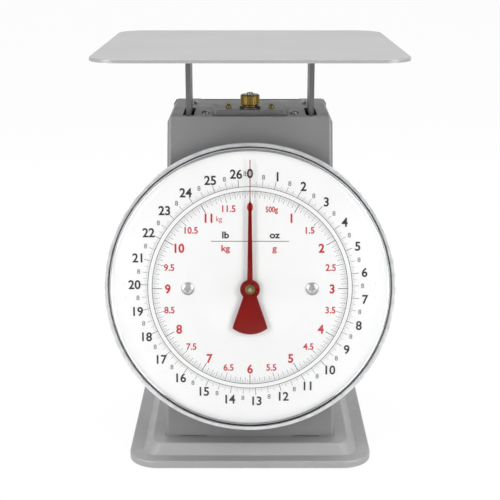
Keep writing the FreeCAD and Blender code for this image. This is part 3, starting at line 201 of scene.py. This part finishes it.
def plated(name, color, roughness, grain=(1, 1, 0.08), strength=0.06):
    """Plated or machined metal with fine tool marks along one axis and faint tarnish."""
    shader = Shader(name, color, roughness, 1.0)
    lines = shader.noise(1500, 3, grain)
    tarnish = shader.span(shader.noise(120, 4), 0.0, 1.0)
    darker = tuple(channel * 0.78 for channel in color)
    shader.color(shader.tint(tarnish, darker, color))
    shader.rough(shader.span(lines, roughness - 0.06, roughness + 0.09))
    shader.bump(lines, strength, 0.1 * MM)
    return shader.material


def rubber(name):
    """Moulded black rubber, faintly speckled."""
    shader = Shader(name, gray(0.018), 0.7)
    speck = shader.noise(1800, 2)
    shader.color(shader.tint(shader.span(speck, 0.0, 1.0), gray(0.014), gray(0.028)))
    shader.rough(shader.span(speck, 0.62, 0.8))
    shader.bump(speck, 0.12, 0.1 * MM)
    return shader.material


def dial_enamel(name):
    """White stove enamel with the slightest unevenness."""
    shader = Shader(name, gray(0.755), 0.4)
    cloud = shader.noise(25, 3)
    shader.color(shader.tint(shader.span(cloud, 0.0, 1.0), (0.75, 0.75, 0.75), (0.76, 0.76, 0.755)))
    shader.rough(shader.span(shader.noise(300, 2), 0.32, 0.4))
    shader.bump(shader.noise(500, 2), 0.02, 0.05 * MM)
    return shader.material


def ink(name, color):
    """Screen-printed ink, a little uneven in density."""
    shader = Shader(name, color, 0.42)
    density = shader.span(shader.noise(1400, 3), 0.0, 1.0)
    thin = tuple(channel * 0.85 + 0.012 for channel in color)
    shader.color(shader.tint(density, thin, color))
    shader.rough(shader.span(shader.noise(700, 2), 0.36, 0.5))
    return shader.material


def pointer_lacquer(name):
    """Deep red lacquer on sheet steel."""
    shader = Shader(name, (0.17, 0.003, 0.002), 0.55)
    cloud = shader.span(shader.noise(220, 3), 0.0, 1.0)
    shader.color(shader.tint(cloud, (0.15, 0.0025, 0.0015), (0.19, 0.004, 0.0025)))
    shader.rough(shader.span(shader.noise(900, 2), 0.44, 0.56))
    shader.surface.inputs["Specular IOR Level"].default_value = 0.05
    shader.bump(shader.noise(1100, 2), 0.03, 0.05 * MM)
    return shader.material


def clear_cover(name):
    """Clear moulded plastic: it lets light straight through and mirrors more at a slant."""
    material = bpy.data.materials.new(name)
    material.use_nodes = True
    tree = material.node_tree
    tree.nodes.clear()
    output = tree.nodes.new("ShaderNodeOutputMaterial")
    mix = tree.nodes.new("ShaderNodeMixShader")
    through = tree.nodes.new("ShaderNodeBsdfTransparent")
    through.inputs["Color"].default_value = (1.0, 1.0, 1.0, 1.0)
    shine = tree.nodes.new("ShaderNodeBsdfPrincipled")
    shine.inputs["Base Color"].default_value = (0.9, 0.92, 0.92, 1.0)
    shine.inputs["Roughness"].default_value = 0.05
    shine.inputs["Metallic"].default_value = 1.0
    slant = tree.nodes.new("ShaderNodeFresnel")
    slant.inputs["IOR"].default_value = 1.18
    haze = tree.nodes.new("ShaderNodeTexNoise")
    haze.inputs["Scale"].default_value = 60.0
    place = tree.nodes.new("ShaderNodeTexCoord")
    relief = tree.nodes.new("ShaderNodeBump")
    relief.inputs["Strength"].default_value = 0.01
    relief.inputs["Distance"].default_value = 0.1 * MM
    tree.links.new(place.outputs["Object"], haze.inputs["Vector"])
    tree.links.new(haze.outputs["Fac"], relief.inputs["Height"])
    tree.links.new(relief.outputs["Normal"], shine.inputs["Normal"])
    tree.links.new(slant.outputs["Fac"], mix.inputs[0])
    tree.links.new(through.outputs["BSDF"], mix.inputs[1])
    tree.links.new(shine.outputs["BSDF"], mix.inputs[2])
    tree.links.new(mix.outputs["Shader"], output.inputs["Surface"])
    return material


MATERIALS = {
    # The casing's silver-grey enamel is darker than the base pan's copy of the same paint below; that
    # difference is painted shade from the platform above the casing.
    "grey_paint": enamel("silver_grey_enamel", 0.2, 0.35, 0.48),
    "tray_paint": brushed_enamel("platform_satin_grey", 0.32, 0.35, 0.4),
    "leg_steel": enamel("leg_grey_enamel", 0.12, 0.4, 0.42),
    "bridge_steel": enamel("bridge_grey_enamel", 0.19, 0.4, 0.45),
    "black_rubber": rubber("moulded_rubber"),
    "bright_steel": plated("nickel_plate", (0.56, 0.55, 0.53), 0.26),
    "zinc_steel": plated("zinc_plate", (0.5, 0.51, 0.53), 0.38),
    "spring_steel": plated("oiled_spring_steel", (0.36, 0.36, 0.38), 0.3),
    "dark_steel": plated("blackened_steel", (0.1, 0.1, 0.105), 0.42),
    "brass": plated("machined_brass", (0.27, 0.19, 0.055), 0.36, (0.08, 1, 1)),
    "chrome": plated("bright_ring_plate", (0.74, 0.74, 0.76), 0.45, (1, 1, 1), 0.01),
    "dial_white": dial_enamel("white_stove_enamel"),
    "clear_plastic": clear_cover("clear_moulded_cover"),
    "red_paint": pointer_lacquer("deep_red_lacquer"),
}
OWN_FINISH = {
    # The base pan gets a lighter copy of the casing's silver-grey enamel: painted light standing for the top
    # light on the base.
    "base_pan": enamel("base_enamel_painted_lighter", 0.3, 0.35, 0.46),
    "dial_screws": plated("satin_screw_plate", (0.62, 0.62, 0.62), 0.4, (1, 1, 1), 0.02),
}
BLACK_INK = ink("black_print", (0.012, 0.012, 0.013))
GREY_INK = ink("fine_grey_print", (0.16, 0.16, 0.165))
RED_INK = ink("red_print", (0.5, 0.012, 0.022))

SOFT_EDGE = math.radians(32)


def finish_nodes():
    """Give every CAD node its procedural material and smooth its curved faces."""
    slots = {entry["node"]: entry["material_slot"] for entry in frame["record"]["subparts"]}
    for name, node in NODES.items():
        node.data.materials.clear()
        node.data.materials.append(OWN_FINISH.get(name, MATERIALS[slots[name]]))
        for face in node.data.polygons:
            face.material_index = 0
            face.use_smooth = True
        node.data.set_sharp_from_angle(angle=SOFT_EDGE)


# ---------------------------------------------------------------- mesh helpers
def piece(name, mesh_builder, material):
    """A new object from a filled bmesh, riding on the frame."""
    mesh = bpy.data.meshes.new(name)
    bmesh.ops.recalc_face_normals(mesh_builder, faces=mesh_builder.faces)
    mesh_builder.to_mesh(mesh)
    mesh_builder.free()
    mesh.materials.append(material)
    made = bpy.data.objects.new(name, mesh)
    bpy.context.scene.collection.objects.link(made)
    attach(made, "frame")


def dial_vertex(mesh, x, up, out):
    """A vertex given in the dial's own frame."""
    return mesh.verts.new(DIAL_FRAME @ Vector((x, up, out)))


def printed_outline(mesh, points):
    """A thin raised patch of ink with the given (x, up) outline."""
    low = DIAL_FRONT + PRINT_LIFT
    high = low + PRINT_THICK
    under = [dial_vertex(mesh, x, up, low) for x, up in points]
    over = [dial_vertex(mesh, x, up, high) for x, up in points]
    count = len(points)
    mesh.faces.new(over)
    mesh.faces.new(list(reversed(under)))
    for index in range(count):
        after = (index + 1) % count
        mesh.faces.new((under[index], under[after], over[after], over[index]))


def printed_ring(mesh, radius, width, steps=360):
    """A thin printed circle."""
    low = DIAL_FRONT + PRINT_LIFT
    high = low + PRINT_THICK
    loops = []
    for ring, out in ((radius - width / 2, low), (radius + width / 2, low),
                      (radius + width / 2, high), (radius - width / 2, high)):
        loops.append([dial_vertex(mesh, ring * math.sin(2 * math.pi * step / steps),
                                  ring * math.cos(2 * math.pi * step / steps), out)
                      for step in range(steps)])
    for side in range(4):
        here = loops[side]
        there = loops[(side + 1) % 4]
        for step in range(steps):
            after = (step + 1) % steps
            mesh.faces.new((here[step], here[after], there[after], there[step]))


def printed_tick(mesh, turn, inner, outer, width):
    """A radial mark at a share of a full turn, clockwise from the top."""
    angle = 2 * math.pi * turn
    along = (math.sin(angle), math.cos(angle))
    across = (along[1] * width / 2, -along[0] * width / 2)
    points = []
    for radius, side in ((inner, -1), (inner, 1), (outer, 1), (outer, -1)):
        points.append((along[0] * radius + across[0] * side, along[1] * radius + across[1] * side))
    printed_outline(mesh, points)


CAP_HEIGHT = 0.73  # of the built-in face's nominal size
LETTERS = {}


def letter_mesh(text, weight):
    """The outline of some characters as a mesh one unit high, centred, made once and kept."""
    key = (text, weight)
    if key not in LETTERS:
        curve = bpy.data.curves.new("letters", "FONT")
        curve.body = text
        curve.size = 1 / CAP_HEIGHT
        curve.align_x = "CENTER"
        curve.offset = weight
        curve.resolution_u = 4
        curve.extrude = 0.5
        maker = bpy.data.objects.new("letters", curve)
        bpy.context.scene.collection.objects.link(maker)
        bpy.context.view_layer.update()
        mesh = bpy.data.meshes.new_from_object(maker.evaluated_get(bpy.context.evaluated_depsgraph_get()))
        bpy.data.objects.remove(maker)
        LETTERS[key] = mesh
    return LETTERS[key]


def printed_text(mesh, text, x, up, height, weight=0.012, squeeze=0.92):
    """Printed characters, centred on a point and upright."""
    letters = letter_mesh(text, weight).copy()
    middle = DIAL_FRONT + PRINT_LIFT + PRINT_THICK / 2
    place = Matrix.Translation((x, up - height / 2, middle))
    size = Matrix.Diagonal((height * squeeze, height, PRINT_THICK, 1.0))
    letters.transform(DIAL_FRAME @ place @ size)
    mesh.from_mesh(letters)
    bpy.data.meshes.remove(letters)


# ---------------------------------------------------------------- the dial's print
# Radii and lengths in metres, on the dial's face.
POUNDS_PER_TURN = 12 / 0.45359237
POUND_RING = 81.6 * MM
KILO_RING = 78.1 * MM
OUNCES_IN_POUND = 16
POUNDS = 26
KILOS = 12
KILO_STEPS = 40  # marks of 25 grams in a kilogram
RING_WIDTH = 0.42 * MM
POUND_MARKS = ((16, 87.4 * MM, 0.42 * MM), (8, 86.6 * MM, 0.3 * MM), (4, 85.4 * MM, 0.26 * MM),
               (1, 83.9 * MM, 0.2 * MM))
KILO_MARKS = ((40, 70.2 * MM, 0.55 * MM), (20, 71.2 * MM, 0.34 * MM), (4, 72.8 * MM, 0.28 * MM),
              (2, 74.3 * MM, 0.24 * MM), (1, 75.8 * MM, 0.2 * MM))
FINE_POUND_MARKS = (4, 1)
FINE_KILO_MARKS = (2, 1)
POUND_NUMBERS = 92.2 * MM
HALF_POUND_NUMBERS = 89.8 * MM
KILO_NUMBERS = 65.6 * MM
HALF_KILO_NUMBERS = 66.6 * MM
FIRST_HALF_KILO_NUMBER = 66.0 * MM


def on_circle(turn, radius):
    """The (x, up) of a point on a circle, clockwise from the top."""
    angle = 2 * math.pi * turn
    return radius * math.sin(angle), radius * math.cos(angle)


def pound_scale(black, fine):
    """The outer scale: a mark each ounce, numbers each pound and a small 8 at each half."""
    printed_ring(black, POUND_RING, RING_WIDTH)
    for ounce in range(POUNDS * OUNCES_IN_POUND + 1):
        every, outer, width = next(mark for mark in POUND_MARKS if ounce % mark[0] == 0)
        mesh = fine if every in FINE_POUND_MARKS else black
        printed_tick(mesh, ounce / OUNCES_IN_POUND / POUNDS_PER_TURN, POUND_RING, outer, width)
    for pound in range(POUNDS + 1):
        if pound < POUNDS:
            half = on_circle((pound + 0.5) / POUNDS_PER_TURN, HALF_POUND_NUMBERS)
            printed_text(fine, "8", *half, 3.9 * MM, 0.02, 1.0)
        x, up = on_circle(pound / POUNDS_PER_TURN, POUND_NUMBERS)
        if pound == POUNDS:
            printed_text(black, "lb", x + 6.6 * MM, up + 0.3 * MM, 4.2 * MM, 0.0)
            x -= 1.0 * MM
        printed_text(black, str(pound), x, up, 7.3 * MM, 0.035, 0.98)


def kilo_scale(black, fine, red):
    """The inner scale: a mark each 25 grams, red numbers each kilogram and each half."""
    printed_ring(black, KILO_RING, RING_WIDTH)
    steps = KILOS * KILO_STEPS
    for step in range(steps):
        every, inner, width = next(mark for mark in KILO_MARKS if step % mark[0] == 0)
        mesh = fine if every in FINE_KILO_MARKS else black
        printed_tick(mesh, step / steps, inner, KILO_RING, width)
    for half_kilo in range(KILOS * 2):
        turn = half_kilo / (KILOS * 2)
        if half_kilo % 2 == 0:
            x, up = on_circle(turn, KILO_NUMBERS)
            printed_text(red, str(half_kilo // 2), x, up, 7.2 * MM, 0.045, 0.95)
        elif half_kilo == 1:
            x, up = on_circle(turn, FIRST_HALF_KILO_NUMBER)
            printed_text(red, "500g", x, up, 4.6 * MM, 0.04, 0.8)
        else:
            x, up = on_circle(turn, HALF_KILO_NUMBERS)
            printed_text(red, "%g" % (half_kilo / 2), x, up, 5.4 * MM, 0.035, 0.95)
    x, up = on_circle((KILOS - 1) / KILOS, KILO_NUMBERS)
    printed_text(red, "kg", x + 8.2 * MM, up - 0.6 * MM, 4.4 * MM, 0.004)


def unit_panel(black, red):
    """The two unit names above the centre, either side of a thin rule."""
    rule_up = 38.2 * MM
    half = 31.0 * MM
    thick = 0.25 * MM
    printed_outline(black, [(-half, rule_up - thick), (half, rule_up - thick),
                            (half, rule_up + thick), (-half, rule_up + thick)])
    for side, upper, lower in ((-1, "lb", "kg"), (1, "oz", "g")):
        printed_text(black, upper, side * 19.5 * MM, 43.4 * MM, 5.4 * MM, 0.045, 1.1)
        printed_text(red, lower, side * 19.5 * MM, 32.8 * MM, 5.2 * MM, 0.035, 1.1)


def dial_print():
    """All the print on the dial, one piece for each ink."""
    black = bmesh.new()
    fine = bmesh.new()
    red = bmesh.new()
    pound_scale(black, fine)
    kilo_scale(black, fine, red)
    unit_panel(black, red)
    for side in (-1, 1):
        for end in (-1, 1):
            printed_text(fine, ".", side * 99.8 * MM, end * 5.7 * MM, 3.0 * MM)
    piece("dial_print_black", black, BLACK_INK)
    piece("dial_print_fine", fine, GREY_INK)
    piece("dial_print_red", red, RED_INK)


# ---------------------------------------------------------------- springs
HOOK_LEG = 5.0 * MM
SPRING_WIRE = 2.1 * MM
SPRING_TURNS = 32
STEPS_PER_TURN = 20
HOOK_STEPS = 10
HOOK_LAP = 2.0 * MM  # how far a hook's leg runs down beside the coil's end


def hook_path(radius, level, side):
    """A half turn over a beam: side is 1 above the coil and -1 below it."""
    points = []
    for step in range(HOOK_STEPS + 1):
        angle = math.pi * step / HOOK_STEPS
        points.append((side * radius * math.cos(angle), 0.0, level + side * radius * math.sin(angle)))
    return points


def coil_path(low, high, radius):
    """The centre line from the lower hook's tip up to the coil's top end."""
    points = hook_path(radius, low - HOOK_LEG, -1)
    steps = SPRING_TURNS * STEPS_PER_TURN
    for step in range(steps + 1):
        angle = 2 * math.pi * SPRING_TURNS * step / steps
        height = low + (high - low) * step / steps
        points.append((radius * math.cos(angle), radius * math.sin(angle), height))
    return points


def wire_piece(name, path, middle):
    """A round wire along a path, as a mesh."""
    curve = bpy.data.curves.new(name + "_line", "CURVE")
    curve.dimensions = "3D"
    curve.bevel_depth = SPRING_WIRE / 2 * 0.98
    curve.bevel_resolution = 3
    curve.use_fill_caps = True
    line = curve.splines.new("POLY")
    line.points.add(len(path) - 1)
    for point, (x, y, z) in zip(line.points, path):
        point.co = (middle.x - y, middle.y + x, z, 1.0)
    maker = bpy.data.objects.new(name + "_maker", curve)
    bpy.context.scene.collection.objects.link(maker)
    bpy.context.view_layer.update()
    mesh = bpy.data.meshes.new_from_object(maker.evaluated_get(bpy.context.evaluated_depsgraph_get()))
    bpy.data.objects.remove(maker)
    mesh.materials.clear()
    mesh.materials.append(MATERIALS["spring_steel"])
    for face in mesh.polygons:
        face.material_index = 0
        face.use_smooth = True
    made = bpy.data.objects.new(name, mesh)
    bpy.context.scene.collection.objects.link(made)
    return made


def spring(node):
    """A drawn-wire spring in place of its CAD solid: the coil is fixed in place, the upper hook hangs on its
    beam.
    """
    low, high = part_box(node)
    middle = (low + high) / 2
    radius = (high.x - low.x) / 2 - SPRING_WIRE / 2
    hook_reach = SPRING_WIRE / 2 + radius + HOOK_LEG
    coil_low = low.z + hook_reach
    coil_high = high.z - hook_reach
    coil = wire_piece(node + "_coil", coil_path(coil_low, coil_high, radius), middle)
    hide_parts(node)
    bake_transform(coil)
    leg = [(radius, 0.0, coil_high - HOOK_LAP)]
    hook = wire_piece(node + "_hook", leg + hook_path(radius, coil_high + HOOK_LEG, 1), middle)
    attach(hook, "spring_hanger")


# ---------------------------------------------------------------- studio
ROOM_FRONT = 0.25
ROOM_BACK = 1.0
FLOOR_GLOW = 0.92
CAMERA_PLACE = (0.0, -0.893, 0.4183)
CAMERA_TILT = 16.3  # degrees below level
CAMERA_LENS = 79.2


def floor():
    """A wide pale floor that shows as white and keeps a soft shadow of the object."""
    half = 30.0
    mesh = bpy.data.meshes.new("floor")
    mesh.from_pydata([(-half, -half, 0), (half, -half, 0), (half, half, 0), (-half, half, 0)],
                     [], [(0, 1, 2, 3)])
    made = bpy.data.objects.new("floor", mesh)
    bpy.context.scene.collection.objects.link(made)
    material = bpy.data.materials.new("pale_floor")
    material.use_nodes = True
    tree = material.node_tree
    surface = tree.nodes["Principled BSDF"]
    surface.inputs["Base Color"].default_value = (0.9, 0.9, 0.9, 1.0)
    surface.inputs["Roughness"].default_value = 0.9
    surface.inputs["Specular IOR Level"].default_value = 0.1
    glow = tree.nodes.new("ShaderNodeEmission")
    glow.inputs["Strength"].default_value = 1.0
    path = tree.nodes.new("ShaderNodeLightPath")
    share = tree.nodes.new("ShaderNodeMath")
    share.operation = "MULTIPLY"
    share.inputs[1].default_value = FLOOR_GLOW
    mix = tree.nodes.new("ShaderNodeMixShader")
    tree.links.new(path.outputs["Is Camera Ray"], share.inputs[0])
    tree.links.new(share.outputs["Value"], mix.inputs[0])
    tree.links.new(surface.outputs["BSDF"], mix.inputs[1])
    tree.links.new(glow.outputs["Emission"], mix.inputs[2])
    tree.links.new(mix.outputs["Shader"], tree.nodes["Material Output"].inputs["Surface"])
    mesh.materials.append(material)


def world():
    """A studio room: bright behind and above the object, dark behind the camera, white to the eye."""
    room = bpy.data.worlds.new("studio")
    bpy.context.scene.world = room
    room.use_nodes = True
    tree = room.node_tree
    background = tree.nodes["Background"]
    background.inputs["Color"].default_value = (1.0, 1.0, 1.0, 1.0)
    direction = tree.nodes.new("ShaderNodeTexCoord")
    split = tree.nodes.new("ShaderNodeSeparateXYZ")
    tree.links.new(direction.outputs["Generated"], split.inputs["Vector"])
    depth = tree.nodes.new("ShaderNodeMapRange")
    depth.interpolation_type = "SMOOTHSTEP"
    depth.inputs["From Min"].default_value = -0.9
    depth.inputs["From Max"].default_value = 0.5
    depth.inputs["To Min"].default_value = ROOM_FRONT
    depth.inputs["To Max"].default_value = ROOM_BACK
    tree.links.new(split.outputs["Y"], depth.inputs["Value"])
    path = tree.nodes.new("ShaderNodeLightPath")
    seen = tree.nodes.new("ShaderNodeMath")
    seen.operation = "MAXIMUM"
    tree.links.new(path.outputs["Is Camera Ray"], seen.inputs[0])
    tree.links.new(path.outputs["Is Transmission Ray"], seen.inputs[1])
    strength = tree.nodes.new("ShaderNodeMix")
    strength.data_type = "FLOAT"
    tree.links.new(seen.outputs["Value"], strength.inputs[0])
    tree.links.new(depth.outputs["Result"], strength.inputs[2])
    strength.inputs[3].default_value = 1.0
    tree.links.new(strength.outputs[0], background.inputs["Strength"])


def softbox(name, place, target, size, power):
    """A square area lamp aimed at a point."""
    lamp = bpy.data.lights.new(name, "AREA")
    lamp.shape = "RECTANGLE"
    lamp.size = size[0]
    lamp.size_y = size[1]
    lamp.energy = power
    made = bpy.data.objects.new(name, lamp)
    made.location = place
    made.rotation_euler = (Vector(target) - Vector(place)).to_track_quat("-Z", "Y").to_euler()
    bpy.context.scene.collection.objects.link(made)


def lights():
    """A large overhead softbox and two tall ones at the front corners."""
    middle = (0.0, 0.0, 0.16)
    softbox("overhead", (0.0, -0.15, 1.5), middle, (1.4, 1.2), 12)
    softbox("left_front", (-1.3, -1.1, 0.75), middle, (0.6, 1.2), 19)
    softbox("right_front", (1.3, -1.1, 0.75), middle, (0.6, 1.2), 19)


def camera():
    """A long lens straight ahead of the dial, looking down a little."""
    data = bpy.data.cameras.new("camera")
    data.lens = CAMERA_LENS
    data.sensor_width = 36.0
    made = bpy.data.objects.new("camera", data)
    made.location = CAMERA_PLACE
    made.rotation_euler = (math.radians(90 - CAMERA_TILT), 0.0, 0.0)
    bpy.context.scene.collection.objects.link(made)
    bpy.context.scene.camera = made


finish_nodes()
dial_print()
for name in ("left_spring", "right_spring"):
    spring(name)
floor()
world()
lights()
camera()
bpy.context.scene.view_settings.view_transform = "Standard"
